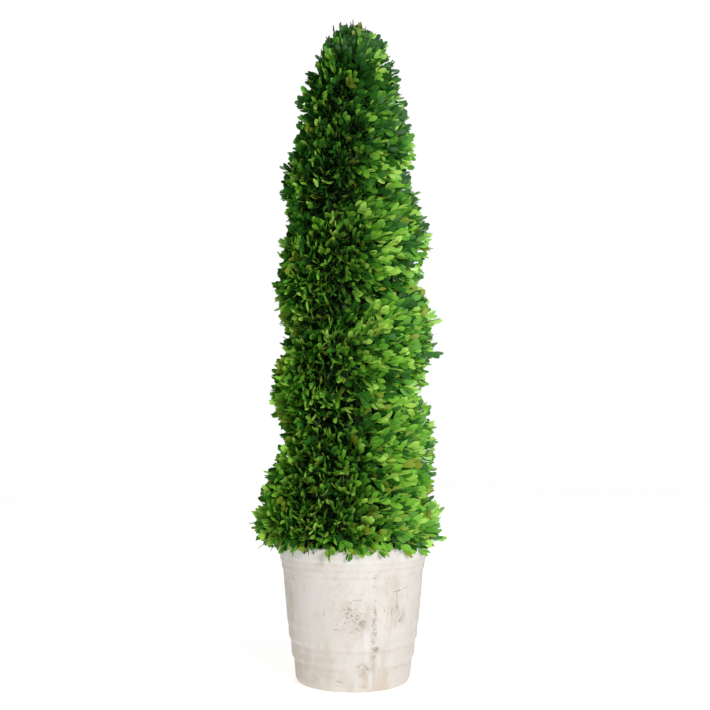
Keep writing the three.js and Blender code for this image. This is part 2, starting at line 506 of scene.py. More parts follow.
class Growth:
    """Boughs, twigs and sprays that part again and again until each spray has its own small patch."""

    SEED = 20417
    # How deep a limb forks under its patch: a share of the patch's side beyond the sprays' own length,
    # and no more than a share of the crown's radius.
    BOUGH_REACH = 0.28
    SPRAY_MARGIN = 0.006
    DEEPEST = 0.75
    # How far forks stray, and limbs bend, as shares of their patch's side and their own length.
    FORK_STRAY = 0.05
    LIMB_BEND = 0.12
    # The power of the number of sprays it feeds that a limb's radius grows with.
    THICKENING = 0.42
    # How far under its patch a bough leaves the trunk, and how deep it sags on the way, as shares of
    # the crown's radius, and how far from the trunk's ends it stays.
    BOUGH_DROP = (0.45, 0.75)
    BOUGH_SAG = 0.18
    TRUNK_ENDS = (0.02, 0.015)
    # How many rings each kind of limb has.
    RINGS = {"bough": 9, "branch": 5, "twig": 3, "stem": 4}
    # How thick a bough begins beside its own end, and any other limb beside the one that it parts from.
    BOUGH_FOOT = 1.5
    LIMB_FOOT = 0.9
    # How big one spray's patch may be beside the even one, and how far over that it still isn't parted.
    PATCH_CHOICE = (0.75, 1.35)
    PATCH_SPARE = 1.4
    # Between which shares of itself a patch is parted, and how many times wider than high it is when
    # the cut goes across its width.
    CUT_SHARES = (0.38, 0.62)
    WIDE_CHOICE = (0.8, 1.25)
    # How many times thicker than a spray's stem the limbs are that count as branches.
    BRANCH_THICKNESS = 2.2

    def __init__(self, crown, branches):
        self.crown = crown
        self.settings = branches
        self.random = np.random.default_rng(self.SEED)
        self.wood = []
        self.sprays = self.grow()

    def bough_patches(self):
        """Parts the whole crown among its boughs, as rows of [from turn, to turn, from rise, to rise]."""
        rows = max(1, round(self.crown.top / self.settings.bough_patch))
        patches = []
        for row in range(rows):
            low, high = self.crown.top * row / rows, self.crown.top * (row + 1) / rows
            around, middle = np.arange(0, 1, 0.1), np.full(10, (low + high) / 2)
            girth = 2 * math.pi * float(np.mean(self.crown.radius(around, middle)))
            count = max(3, round(girth / self.settings.bough_patch))
            start = self.random.random()
            patches += [[start + i / count, start + (i + 1) / count, low, high] for i in range(count)]
        return np.array(patches)

    def sides(self, patches):
        """The width and height of patches on the clipped surface."""
        turn, rise = self.middles(patches)
        tilt = np.clip(self.crown.over_dome(rise), 0, 1) * math.pi / 2
        girth = 2 * math.pi * self.crown.radius(turn, rise) * np.cos(tilt)
        return girth * (patches[:, 1] - patches[:, 0]), patches[:, 3] - patches[:, 2]

    def middles(self, patches):
        """The turn and rise of each patch's middle."""
        return (patches[:, 0] + patches[:, 1]) / 2, (patches[:, 2] + patches[:, 3]) / 2

    def fork_points(self, patches):
        """Where the limb that feeds each patch forks, and that limb's radius."""
        turn, rise = self.middles(patches)
        width, height = self.sides(patches)
        area = np.maximum(width * height, 1e-6)
        depth = self.settings.spray_length + self.SPRAY_MARGIN + self.BOUGH_REACH * np.sqrt(area)
        depth = np.minimum(depth, self.DEEPEST * self.crown.radius(turn, rise))
        points = self.crown.point(turn, rise, depth)
        points += self.random.normal(0, self.FORK_STRAY, points.shape) * np.sqrt(area)[:, None]
        sprays = area / self.settings.spray_patch**2
        return points, self.settings.stem_radius * np.maximum(sprays, 1.0) ** self.THICKENING

    def add_wood(self, kind, starts, ends, bend, start_radii, end_radii, masses):
        """Grows tapered limbs of one kind, bent aside between their ends, each one in a mass."""
        share = np.linspace(0, 1, self.RINGS[kind])[None, :, None]
        middle = lerp(starts, ends, 0.5)[:, None] + bend[:, None]
        start, end = starts[:, None], ends[:, None]
        lines = lerp(lerp(start, middle, share), lerp(middle, end, share), share)
        radii = lerp(start_radii[:, None], end_radii[:, None], share[..., 0])
        self.wood.append({"kind": kind, "lines": lines, "radii": radii, "masses": masses})
        return lines

    def grow(self):
        """Grows the boughs, and parts their patches until each is a single spray's.

        Returns the sprays' patches, and the ends and radii of the twigs that feed them.
        """
        patches = self.bough_patches()
        points, radii = self.fork_points(patches)
        turn, rise = self.middles(patches)
        out = self.crown.radius(turn, rise) * self.random.uniform(*self.BOUGH_DROP, len(patches))
        foot, top = self.TRUNK_ENDS
        height = np.clip(points[:, 2] - out, TRUNK_LOW.z + foot, TRUNK_HIGH.z - top)
        starts = np.array([trunk_centre(z) for z in height])
        sag = -UP * (self.BOUGH_SAG * out)[:, None]
        masses = self.crown.mass_at(turn, rise)
        self.add_wood("bough", starts, points, sag, radii * self.BOUGH_FOOT, radii, masses)
        finished = []
        while True:
            width, height = self.sides(patches)
            target = self.settings.spray_patch**2 * self.random.uniform(*self.PATCH_CHOICE, len(patches))
            small = width * height < target * self.PATCH_SPARE
            finished.append((patches[small], points[small], radii[small]))
            if small.all():
                return [np.concatenate(parts) for parts in zip(*finished)]
            patches, points, radii = self.part(patches[~small], points[~small], radii[~small])

    def part(self, patches, points, radii):
        """Parts each patch in two across its longer side, and grows a limb to each half."""
        width, height = self.sides(patches)
        share = self.random.uniform(*self.CUT_SHARES, len(patches))
        wide = width > height * self.random.uniform(*self.WIDE_CHOICE, len(patches))
        low, high = np.where(wide, 0, 2), np.where(wide, 1, 3)
        rows = np.arange(len(patches))
        cut = lerp(patches[rows, low], patches[rows, high], share)
        first, second = patches.copy(), patches.copy()
        first[rows, high] = cut
        second[rows, low] = cut
        children = np.concatenate([first, second])
        starts = np.concatenate([points, points])
        from_radii = np.concatenate([radii, radii])
        ends, to_radii = self.fork_points(children)
        to_radii = np.minimum(to_radii, from_radii)
        gap = np.linalg.norm(ends - starts, axis=1, keepdims=True)
        bend = self.random.normal(0, self.LIMB_BEND, starts.shape) * gap
        thick = to_radii.mean() > self.BRANCH_THICKNESS * self.settings.stem_radius
        kind = "branch" if thick else "twig"
        masses = self.crown.mass_at(*self.middles(children))
        self.add_wood(kind, starts, ends, bend, from_radii * self.LIMB_FOOT, to_radii, masses)
        return children, ends, to_radii


def trunk_lines():
    """The trunk's centres and radii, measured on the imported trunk's rings."""
    rings = {}
    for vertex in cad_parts["trunk"].data.vertices:
        x, y, z = vertex.co
        rings.setdefault(round(z, 4), set()).add((round(x, 5), round(y, 5)))
    heights, centres, radii = [], [], []
    for height in sorted(rings):
        ring = np.array(list(rings[height]))
        middle = (ring.max(axis=0) + ring.min(axis=0)) / 2
        reach = float(np.max(np.linalg.norm(ring - middle, axis=1)))
        heights.append(height)
        centres.append(middle)
        radii.append(reach)
    return np.array(heights), np.array(centres), np.array(radii)


TRUNK_HEIGHTS, TRUNK_CENTRES, TRUNK_RADII = trunk_lines()


def trunk_centre(height):
    """The middle of the trunk at a height."""
    x, y = (np.interp(height, TRUNK_HEIGHTS, TRUNK_CENTRES[:, axis]) for axis in (0, 1))
    return np.array([x, y, height])


# ---- Sprays and leaves


class Sprays:
    """Short leafy stems that end just under the clipped surface, combed to their part of the crown."""

    SEED = 5521
    # How far a spray may stand from the middle of its patch, as a share of the patch.
    SPRAY_STRAY = 0.3
    # How far a spray's stem bends, as a share of its length.
    STEM_BEND = 0.42
    # How far the sprays lean ahead round the trunk, in radians, and how strongly they gather into
    # the directions that they were combed to.
    SWIRL = 0.63
    COMBED_SIDES = 4
    COMBING = 0.74
    # How much more the sprays lean up or down than the clipped surface does, the share of that lean
    # in theirs, and how unevenly they lean.
    STEEPNESS = 3.4
    SURFACE_SHARE = 0.85
    LEAN_SPREAD = 0.11
    # How far all the sprays lean up, how much more the topmost ones do, and how far under the dome
    # that begins, as a share of the dome.
    LIFT = 0.10
    TIP_LIFT = 0.55
    TIP_LIFT_UNDER = 0.55
    # How high up the crown's foot the sprays hang over the pot's rim, and how far they lean and drop.
    FRINGE_HEIGHT = 0.03
    FRINGE_LEAN = 0.65
    FRINGE_DROP = 0.010
    # How far the crown's very top is cut in under its dome, and how far the dome's shoulders stand out.
    TOP_SINK = 0.016
    SHOULDER = 0.006
    # How far under the clipped surface a spray ends: a share of its leaves' length, and the middle,
    # spread and least of what is added to it.
    UNDER_SHARE = 0.78
    UNDER = (0.003, 0.0050, -0.006)
    # The share of sprays that stand out from the rest, and how far they do.
    STRAY_SHARE = 0.08
    STRAY = (0.003, 0.011)
    # How much smaller the topmost leaves are, and the share of the rises where that begins.
    TOP_SMALLER = 0.26
    SMALLER_FROM = 0.6

    def __init__(self, growth, leaf_length):
        self.growth = growth
        self.crown = growth.crown
        self.leaf_length = leaf_length
        self.random = np.random.default_rng(self.SEED)
        self.stems()

    def stems(self):
        """A short bent stem for each spray, from its twig to just under the clipped surface."""
        patches, starts, _ = self.growth.sprays
        turn, rise = self.growth.middles(patches)
        count = len(patches)
        off = self.SPRAY_STRAY
        turn = turn + (patches[:, 1] - patches[:, 0]) * self.random.uniform(-off, off, count)
        rise = rise + (patches[:, 3] - patches[:, 2]) * self.random.uniform(-off, off, count)
        high_up = np.clip((rise / self.crown.top - self.SMALLER_FROM) / (1 - self.SMALLER_FROM), 0, 1)
        self.sizes = 1 - self.TOP_SMALLER * high_up
        self.fringe = np.clip(1 - rise / self.FRINGE_HEIGHT, 0, 1)
        self.masses = self.crown.mass_at(turn, rise)
        self.normals = self.crown.normal(turn, rise)
        lean = self.leans(turn, rise)
        under = self.depths(rise)
        drop = self.FRINGE_DROP * self.fringe * self.random.uniform(0, 2, count)
        ends = self.crown.point(turn, rise) - self.normals * under[:, None] - np.outer(drop, UP)
        gap = np.linalg.norm(ends - starts, axis=1, keepdims=True)
        bend = 0.5 * (ends - starts) - self.STEM_BEND * gap * lean
        radii = np.full(count, self.growth.settings.stem_radius)
        self.lines = self.growth.add_wood("stem", starts, ends, bend, radii, radii * 0.5, self.masses)

    def leans(self, turn, rise):
        """The directions in which the sprays leave their twigs."""
        _, outward = self.crown.ray(turn, rise)
        ahead = np.cross(UP, outward)
        steep = unit(self.normals * [1.0, 1.0, self.STEEPNESS])
        facing = self.COMBED_SIDES * (2 * math.pi * turn + math.pi / 2 + self.SWIRL)
        swirl = np.tan(self.SWIRL - self.COMBING * np.sin(facing) / self.COMBED_SIDES)
        lean = self.SURFACE_SHARE * steep + (1 - self.SURFACE_SHARE) * outward + ahead * swirl[:, None]
        near_dome = np.clip(self.crown.over_dome(rise) + self.TIP_LIFT_UNDER, 0, 1)
        lift = self.LIFT - self.FRINGE_LEAN * self.fringe + self.TIP_LIFT * near_dome
        uneven = self.random.normal(0, self.LEAN_SPREAD, lean.shape)
        return unit(lean + uneven + np.outer(lift, UP))

    def depths(self, rise):
        """How far under the clipped surface the sprays end."""
        middle, spread, least = self.UNDER
        under = self.leaf_length * self.UNDER_SHARE * self.sizes
        under = under + self.random.normal(middle, spread, len(rise)).clip(least, None)
        stray = self.random.random(len(rise)) < self.STRAY_SHARE
        under = under - stray * self.random.uniform(*self.STRAY, len(rise))
        dome = np.clip(self.crown.over_dome(rise), 0, 1)
        return under + self.TOP_SINK * dome**2 - self.SHOULDER * 4 * dome * (1 - dome)


class Leaves:
    """Opposite leaves in pairs along each spray, which is nearly flat, and their tints."""

    # What is kept of each leaf.
    COLUMNS = ("spot", "leaf", "face", "scale", "tint", "mass")
    # From the tip down the stem: where each pair sits, how far it opens, and its share of full size.
    PAIRS = [
        (0.0000, 11, 0.88),
        (0.0105, 20, 1.00),
        (0.0225, 28, 0.98),
    ]
    # Along a leaf: shares of its length, and of half its width there.
    STATIONS = [(0.0, 0.08), (0.18, 0.50), (0.40, 0.90), (0.60, 1.00), (0.80, 0.86), (0.94, 0.50)]
    SHADED_STATIONS = [(0.0, 0.08), (0.40, 0.82), (0.80, 0.88)]
    # How many pairs of shaded leaves stay on each length of wood, between which shares of it, how far
    # ahead and how unevenly they point, and the middle and spread of their sizes.
    SHADED_PAIRS = {"twig": 1, "branch": 4}
    SHADED_REACH = (0.1, 0.98)
    SHADED_AHEAD = 0.7
    SHADED_SPREAD = 0.25
    SHADED_SIZES = (1.05, 0.1)
    # Between edge on and flat to the clipped surface, where the sprays lie.
    FLATNESS = (0.2, 1.0)
    # How far a pair of leaves turns out of the flat of its spray, in radians, and how far it may slip
    # along the stem.
    TWIST = 0.65
    SLIP = (0.85, 1.15)
    # The share of leaves that stand open from the rest of their spray, how many degrees further they
    # do, and the spread of the others' degrees.
    OPEN_SHARE = 0.11
    OPEN_DEGREES = (25, 50)
    CLOSED_SPREAD = 5
    # The share of leaves that are there, at each pair.
    KEPT = (0.97, 0.97, 0.90)
    # How unevenly the sprays open, and how unevenly their leaves point and tilt.
    OPENING_SPREAD = 0.2
    POINTING_SPREAD = 0.045
    TILT_SPREAD = 0.25
    # The spread and the limits of the leaves' sizes, and of their widths.
    SIZES = (0.11, 0.7, 1.3)
    WIDTHS = (0.14, 0.68, 1.35)
    # How much smaller the leaves over the pot's rim are.
    FRINGE_SMALLER = 0.26
    # How far a leaf folds up along its rib, at least and at most, as a share of its half width.
    FOLD = (0.10, 0.50)
    # The middle and spread of its curl backwards, and its stalk, as shares of its length.
    CURL = (0.03, 0.05)
    STALK = 0.04
    # The greens from old to young, then the odd tints; the last, shade green, is darker than age alone
    # makes it, a painted shade.
    TINTS = ["bottle", "deep", "middle", "fresh", "lime", "olive", "straw", "shade"]
    # How many sprays take each tint, at the crown's foot and at its top, where the darker greens paint
    # shade.
    FOOT_SHARES = [0.05, 0.21, 0.40, 0.28, 0.03, 0.03, 0.0, 0.0]
    TOP_SHARES = [0.72, 0.27, 0.00, 0.0, 0.0, 0.01, 0.0, 0.0]
    # The number of greens in which a leaf may take the one next to its spray's.
    GREENS = 4
    # At each pair, the shares of leaves that are a green younger and a green older than their spray.
    YOUNGER = (0.44, 0.30, 0.12)
    OLDER = (0.16, 0.34, 0.70)
    # The share of younger leaves among those that stand open, and how many of all the younger ones are
    # missing at the crown's top, which paints shade there.
    YOUNGER_OPEN = 0.75
    YOUNGER_LOST = 0.65
    # The shares under which a single leaf is an odd one. The last that it is under is its tint.
    ODD_SHARES = {"lime": 0.065, "olive": 0.035, "straw": 0.002}
    # The powers of the height with which the sprays' tints, and the leaves', turn darker towards the top, a
    # painted shade.
    SPRAY_TOP_DARKENING = 2.6
    LEAF_TOP_DARKENING = 4

    def __init__(self, sprays, settings):
        self.sprays = sprays
        self.settings = settings
        self.random = sprays.random
        self.outer = self.outer_leaves()

    def outer_leaves(self):
        """Places the leaves of every spray."""
        sprays = self.sprays
        count = len(sprays.lines)
        tips, before = sprays.lines[:, -1], sprays.lines[:, -2]
        stem = unit(tips - before)
        aside = unit(np.cross(stem, self.random.normal(0, 1, stem.shape)))
        flat = unit(sprays.normals - stem * np.sum(sprays.normals * stem, axis=1, keepdims=True))
        turned = np.maximum(self.random.uniform(*self.FLATNESS, count), sprays.fringe)
        plane = unit(lerp(aside, flat, turned[:, None]))
        crosswise = np.cross(plane, stem)
        height = np.clip((tips[:, 2] - SKIRT_LOW.z) / (TIP_HIGH.z - SKIRT_LOW.z), 0, 1)
        foot, top = np.array(self.FOOT_SHARES), np.array(self.TOP_SHARES)
        # Sprays high up take darker greens, a painted shade on the crown's top.
        shares = np.cumsum(lerp(foot, top, height[:, None] ** self.SPRAY_TOP_DARKENING), axis=1)
        spray_tint = np.sum(self.random.random((count, 1)) > shares[:, :-1], axis=1)
        spread = self.random.normal(1, self.OPENING_SPREAD, count)
        arc = np.linalg.norm(np.diff(sprays.lines, axis=1), axis=2)
        to_tip = np.concatenate([np.cumsum(arc[:, ::-1], axis=1)[:, ::-1], np.zeros((count, 1))], axis=1)
        parts = []
        for number, (down, opening, size) in enumerate(self.PAIRS):
            spot = self.along(to_tip, down * self.random.uniform(*self.SLIP, count))
            twist = self.random.normal(0, self.TWIST, (count, 1))
            pair_plane = plane * np.cos(twist) + crosswise * np.sin(twist)
            for hand in (-1, 1):
                side = np.cross(pair_plane, stem) * hand
                opened = self.random.random(count) < self.OPEN_SHARE
                wide = self.random.uniform(*self.OPEN_DEGREES, count)
                more = np.where(opened, wide, self.random.normal(0, self.CLOSED_SPREAD, count))
                angle = np.radians(opening * spread + more)[:, None]
                leaf = stem * np.cos(angle) + side * np.sin(angle)
                leaf = unit(leaf + self.random.normal(0, self.POINTING_SPREAD, stem.shape))
                face = pair_plane + side * self.random.normal(0, self.TILT_SPREAD, (count, 1))
                face = unit(face - leaf * np.sum(face * leaf, axis=1, keepdims=True))
                keep = self.random.random(count) < self.KEPT[number]
                scale = sprays.sizes * size * self.varied(self.SIZES, count)
                scale = scale * (1 - self.FRINGE_SMALLER * sprays.fringe)
                tint = self.leaf_tints(spray_tint, number, opened, height)
                parts.append([part[keep] for part in (spot, leaf, face, scale, tint, sprays.masses)])
        return self.columns(parts)

    def varied(self, variety, count):
        """Numbers around 1, from their spread and their limits."""
        spread, least, most = variety
        return self.random.normal(1, spread, count).clip(least, most)

    def columns(self, parts):
        """Joins lists of leaves into one table."""
        return {name: np.concatenate(column) for name, column in zip(self.COLUMNS, zip(*parts))}

    def shaded_leaves(self):
        """Places the old leaves deep in the crown, in pairs along its twigs, in shade green, partly painted
        shade.
        """
        parts = []
        for limbs in self.sprays.growth.wood:
            lines = limbs["lines"]
            count, rings = lines.shape[:2]
            for _ in range(self.SHADED_PAIRS.get(limbs["kind"], 0)):
                share = self.random.uniform(*self.SHADED_REACH, count) * (rings - 1)
                ring = share.astype(int)
                rows = np.arange(count)
                before, after = lines[rows, ring], lines[rows, ring + 1]
                spot = lerp(before, after, (share - ring)[:, None])
                wood = unit(after - before)
                side = unit(np.cross(wood, self.random.normal(0, 1, wood.shape)))
                # Shade green: their age, and painted shade in the crown's gaps.
                tint = np.full(count, self.TINTS.index("shade"))
                for aside in (side, -side):
                    uneven = self.random.normal(0, self.SHADED_SPREAD, wood.shape)
                    leaf = unit(self.SHADED_AHEAD * wood + aside + uneven)
                    face = unit(np.cross(leaf, self.random.normal(0, 1, wood.shape)))
                    scale = self.random.normal(*self.SHADED_SIZES, count)
                    parts.append([spot, leaf, face, scale, tint, limbs["masses"]])
        return self.columns(parts)

    def along(self, to_tip, down):
        """The place on each stem that lies down metres before its tip."""
        lines = self.sprays.lines
        places = np.empty((len(down), 3))
        for row in range(lines.shape[1] - 1):
            far, near = to_tip[:, row], to_tip[:, row + 1]
            inside = (down <= far) & (down >= near) if row else down >= near
            share = np.clip((far - down) / np.maximum(far - near, 1e-9), 0, 1)[:, None]
            spot = lerp(lines[:, row], lines[:, row + 1], share)
            places[inside] = spot[inside]
        return places

    def leaf_tints(self, spray_tint, number, opened, height):
        """Each leaf's tint: its spray's, younger at the tip and where it stands open low down, with painted
        shade high up.
        """
        count = len(spray_tint)
        tint = spray_tint.copy()
        green = tint < self.GREENS
        # Fewer leaves are younger, and fewer lime, high up: a painted shade on the crown's top.
        darkening = height**self.LEAF_TOP_DARKENING
        younger = np.where(opened, self.YOUNGER_OPEN, self.YOUNGER[number]) * (1 - self.YOUNGER_LOST * darkening)
        older = np.where(opened, 1.0, 1 - self.OLDER[number])
        chance = self.random.random(count)
        tint[green & (chance < younger)] += 1
        tint[green & (chance > older) & (tint > 0)] -= 1
        odd = self.random.random(count) + self.ODD_SHARES["lime"] * darkening
        for name, share in self.ODD_SHARES.items():
            tint[odd < share] = self.TINTS.index(name)
        return tint

    def points(self, table, chosen, stations):
        """Points of the chosen leaves' outlines, folded along the rib and curled back."""
        spot, leaf, face, scale = (table[name][chosen] for name in self.COLUMNS[:4])
        count = len(spot)
        across = np.cross(face, leaf)
        full_length = (self.settings.length * scale)[:, None]
        plump = self.varied(self.WIDTHS, count)
        half_width = (self.settings.width / 2 * scale**0.5 * plump)[:, None]
        fold = self.random.uniform(*self.FOLD, count)[:, None]
        curl = self.random.normal(*self.CURL, count)[:, None]
        rows = []
        for along, wide in [*stations, (1.0, 0.0)]:
            ahead, back = leaf * (along + self.STALK), face * curl * along**2
            rib = spot + full_length * (ahead - back)
            edge = across * half_width * wide
            lift = face * half_width * wide * fold
            rows += [rib - edge + lift, rib, rib + edge + lift] if wide else [rib]
        return np.stack(rows, axis=1)

    def faces(self, stations):
        """A leaf's faces: two strips beside its rib, closed at the tip."""
        faces = []
        for row in range(len(stations) - 1):
            low, high = 3 * row, 3 * row + 3
            faces.append((low, low + 1, high + 1, high))
            faces.append((low + 1, low + 2, high + 2, high + 1))
        last, tip = 3 * len(stations) - 3, 3 * len(stations)
        faces.append((last, last + 1, tip))
        faces.append((last + 1, last + 2, tip))
        return faces


# ---- Materials


def leaf_material(tint, base, roughness):
    """One plain green. The sprays deal out the greens."""
    finish = Finish("leaf_" + tint)
    finish.set(Base_Color=base, Roughness=roughness)
    return finish.material


def bark_material(name, plate, furrow, scale):
    """Bark in long plates with darker furrows."""
    finish = Finish(name)
    plates = finish.cells("DISTANCE_TO_EDGE", scale, stretch=(1, 1, 0.28))
    open_furrow = 1 - plates.between(0.02, 0.16)
    blotch = finish.noise(scale * 0.6, detail=4)
    grain = finish.noise(scale * 4, detail=3, stretch=(1, 1, 0.2))
    dark = (open_furrow * 0.7 + (1 - blotch) * 0.5 + (grain - 0.5) * 0.4).between(0.1, 1.0)
    finish.set(
        Base_Color=finish.mix(dark, plate, furrow),
        Roughness=0.72 + blotch * 0.2,
        Normal=finish.relief(plates.between(0, 0.25) + grain * 0.4, 0.0012),
    )
    return finish.material


def soil_material(base):
    """Crumbly potting mix with paler bits of bark."""
    finish = Finish("potting_mix_crumb")
    crumbs = finish.cells("F1", 220)
    damp = finish.noise(30, detail=4)
    chips = finish.noise(90, detail=2).between(0.62, 0.7)
    pale = tuple(min(1, 3.2 * channel) for channel in base)
    finish.set(
        Base_Color=finish.mix(chips * 0.7 + damp * 0.15, base, pale),
        Roughness=0.85 + damp * 0.12,
        Normal=finish.relief(crumbs, 0.002),
    )
    return finish.material


# ---- Operators


class TOPIARY_OT_pot(bpy.types.Operator):
    """Model the banded pot and its worn limewash"""

    bl_idname = "topiary.pot"
    bl_label = "Pot"

    SEGMENTS = 180
    RING_STEP = 0.0028
    # How many points round off the foot, and each edge of the rim.
    FOOT_STEPS = 7
    LIP_STEPS = 4
    # Features to the metre of the wall's wandering, of its ripple round and up, and of its chips.
    WANDER_SCALE = 14
    RIPPLE_SCALES = (9, 75)
    CHIP_SCALE = 70
    # The ripple's share of the wandering, how rare the chips are and how deep, and how far the wall
    # stays inside its true radius.
    RIPPLE_SHARE = 0.45
    CHIP_LEVEL = 0.42
    CHIP_DEPTH = 0.006
    WALL_SINK = 0.0004
    # The radius at which places on the wall are measured from degrees.
    MIDDLE_RADIUS = 0.118
    # Worn places: degrees right of the middle, height, half width, half height and strength.
    WEAR = [
        (15, 0.240, 0.013, 0.009, 0.40),
        (18, 0.207, 0.007, 0.007, 0.90),
        (18, 0.190, 0.005, 0.016, 0.70),
        (19, 0.150, 0.004, 0.042, 0.50),
        (19, 0.109, 0.005, 0.024, 0.65),
        (20, 0.078, 0.012, 0.009, 0.90),
        (17, 0.062, 0.009, 0.012, 0.65),
        (11, 0.048, 0.023, 0.010, 0.55),
        (9, 0.034, 0.009, 0.009, 0.45),
        (10, 0.012, 0.011, 0.005, 0.60),
        (4, 0.130, 0.018, 0.020, 0.66),
        (-1, 0.143, 0.032, 0.028, 0.58),
        (-9, 0.114, 0.025, 0.016, 0.50),
        (4, 0.167, 0.014, 0.002, 0.70),
        (30, 0.168, 0.010, 0.012, 0.60),
        (33, 0.144, 0.018, 0.016, 0.55),
        (45, 0.134, 0.016, 0.018, 0.50),
        (-57, 0.196, 0.003, 0.003, 1.00),
        (39, 0.018, 0.004, 0.004, 0.80),
        (-14, 0.173, 0.006, 0.003, 0.80),
    ]
    # Thick smears of lime, listed likewise.
    SMEARS = [
        (12, 0.088, 0.010, 0.030, 0.90),
        (17, 0.030, 0.006, 0.024, 0.90),
        (24, 0.060, 0.008, 0.020, 0.60),
        (-32, 0.180, 0.020, 0.030, 0.40),
    ]
    # Scratches: from degrees and height, to degrees and height.
    SCRATCHES = [
        (34, 0.177, 42, 0.179),
        (42, 0.179, 49, 0.183),
        (37, 0.178, 39, 0.149),
        (-24, 0.150, -25, 0.136),
        (-17, 0.021, -10, 0.020),
    ]
    SCRATCH_WIDTH = 0.0010
    # The long run down the wall: degrees right of the middle, half its width, and its two heights.
    STREAK_DEGREES = 18.5
    STREAK_REACH = 0.0060
    STREAK_HEIGHTS = (0.020, 0.216)
    # Half the angle after which the worn places come round again.
    REPEAT = math.pi / 3
    # Degrees right of the middle between which the flecks turn tall and close.
    TALL_FLECKS = (20, 27)
    # Half the height of the painted shade along the edges of the collars and of the belts.
    COLLAR_SHADE = 0.0040
    BELT_SHADE = 0.0060
    # The heights between which stains gather towards the ground, and lime towards the rim.
    STAINED_FOOT = (0.12, 0.0)
    LIMED_RIM = (0.226, 0.232)
    RELIEF_DEPTH = 0.0011
    SPECULAR = 0.3

    def execute(self, context):
        settings = context.scene.topiary_pot
        bm = spun(self.outline(settings.roundness), self.SEGMENTS)
        self.wear(bm, settings.unevenness)
        mesh = mesh_from_bmesh(bm, "pot_limewashed")
        finished_piece(mesh, "pot_limewashed", [self.material(settings)], "whitewashed_terracotta", "pot")
        return {"FINISHED"}

    def outline(self, roundness):
        """The pot's half section, from the middle of its underside out, up and in again."""
        points = [(0.0, 0.0), (UNDERSIDE_RADIUS * 0.5, 0.0), (UNDERSIDE_RADIUS, 0.0)]
        base = POT_BANDS[0][0]
        edge = POT_BANDS[0][1] - UNDERSIDE_RADIUS
        for step in range(1, self.FOOT_STEPS):
            angle = math.pi / 2 * step / self.FOOT_STEPS
            points.append((UNDERSIDE_RADIUS + edge * math.sin(angle), base * (1 - math.cos(angle))))
        top, lip = POT_HIGH.z, POT_BANDS[-1][2]
        steps = round((top - roundness - base) / self.RING_STEP)
        heights = [lerp(base, top - roundness, step / steps) for step in range(steps + 1)]
        points += [(self.wall_radius(height), height) for height in heights]
        for corner, side in ((lip - roundness, 1), (MOUTH_RADIUS + roundness, -1)):
            arc = []
            for step in range(1, self.LIP_STEPS + 1):
                angle = math.pi / 2 * step / self.LIP_STEPS
                arc.append((
                    corner + side * roundness * math.cos(angle),
                    top - roundness * (1 - math.sin(angle)),
                ))
            points += arc if side > 0 else arc[::-1]
        floor = SOIL_LOW.z - 0.0005
        inside = POT_BANDS[0][1] - WALL_THICKNESS
        for share in (0, 0.33, 0.66):
            points.append((lerp(MOUTH_RADIUS, inside, share), lerp(top - roundness, floor, share)))
        points += [(inside, floor), (0.0, floor)]
        return points

    def wall_radius(self, height):
        """The wall's radius at a height, which swells softly from each band to the next."""
        tops = [band[0] for band in POT_BANDS[1:]] + [POT_HIGH.z]
        below = POT_BANDS[0][1]
        for (low, low_radius, high_radius, swell), high in zip(POT_BANDS, tops):
            radius = lerp(low_radius, high_radius, (height - low) / (high - low))
            if height < high:
                share = min(1.0, (height - low) / swell) if swell else 1.0
                return lerp(below, radius, share * share * (3 - 2 * share))
            below = high_radius
        return below

    def wear(self, bm, unevenness):
        """Lets the thrown wall and its rim wander inwards, with small chips knocked off."""
        around, up = self.RIPPLE_SCALES
        for vertex in bm.verts:
            place = vertex.co
            radius = math.hypot(place.x, place.y)
            inside = radius < MOUTH_RADIUS + 0.002 and 0.02 < place.z < POT_HIGH.z
            if place.z < 0.004 or radius < 0.05 or inside:
                continue
            wander = noise.noise(place * self.WANDER_SCALE) * unevenness
            rippled = Vector((place.x * around, place.y * around, place.z * up))
            ripple = noise.noise(rippled) * unevenness * self.RIPPLE_SHARE
            chipped = noise.noise(place * self.CHIP_SCALE + Vector((3.1, 0, 0)))
            chip = max(0.0, chipped - self.CHIP_LEVEL) * self.CHIP_DEPTH
            inward = min(0.0, wander + ripple - self.WALL_SINK) - chip
            vertex.co.x *= 1 + inward / radius
            vertex.co.y *= 1 + inward / radius

    def material(self, settings):
        """Limewash in uneven coats, worn back to the clay in flecks and scratches, with painted shade at
        the bands' edges and on the left.
        """
        finish = Finish("limewashed_terracotta")
        x, y, z = finish.axes()
        turn = x.maths("ARCTAN2", x, y * -1)
        cloud = finish.noise(8, detail=5, roughness=0.6)
        brushed = finish.noise(24, detail=5, roughness=0.6, stretch=(1, 1, 0.22), distortion=0.6)
        runs = finish.noise(80, detail=3, stretch=(1, 1, 0.06))
        rings = finish.noise(2, detail=3, stretch=(1.4, 1.4, 130))
        grain = finish.noise(420, detail=3)
        speck = finish.noise(240, detail=3, roughness=0.7)
        tall_speck = finish.noise(210, detail=3, roughness=0.7, stretch=(1, 1, 0.3))
        mottle = finish.noise(70, detail=6, roughness=0.75, stretch=(1, 1, 0.7))
        patches = finish.noise(26, detail=5, roughness=0.65)
        coats = finish.noise(11, detail=3, stretch=(1.5, 1.5, 0.6), distortion=0.3)

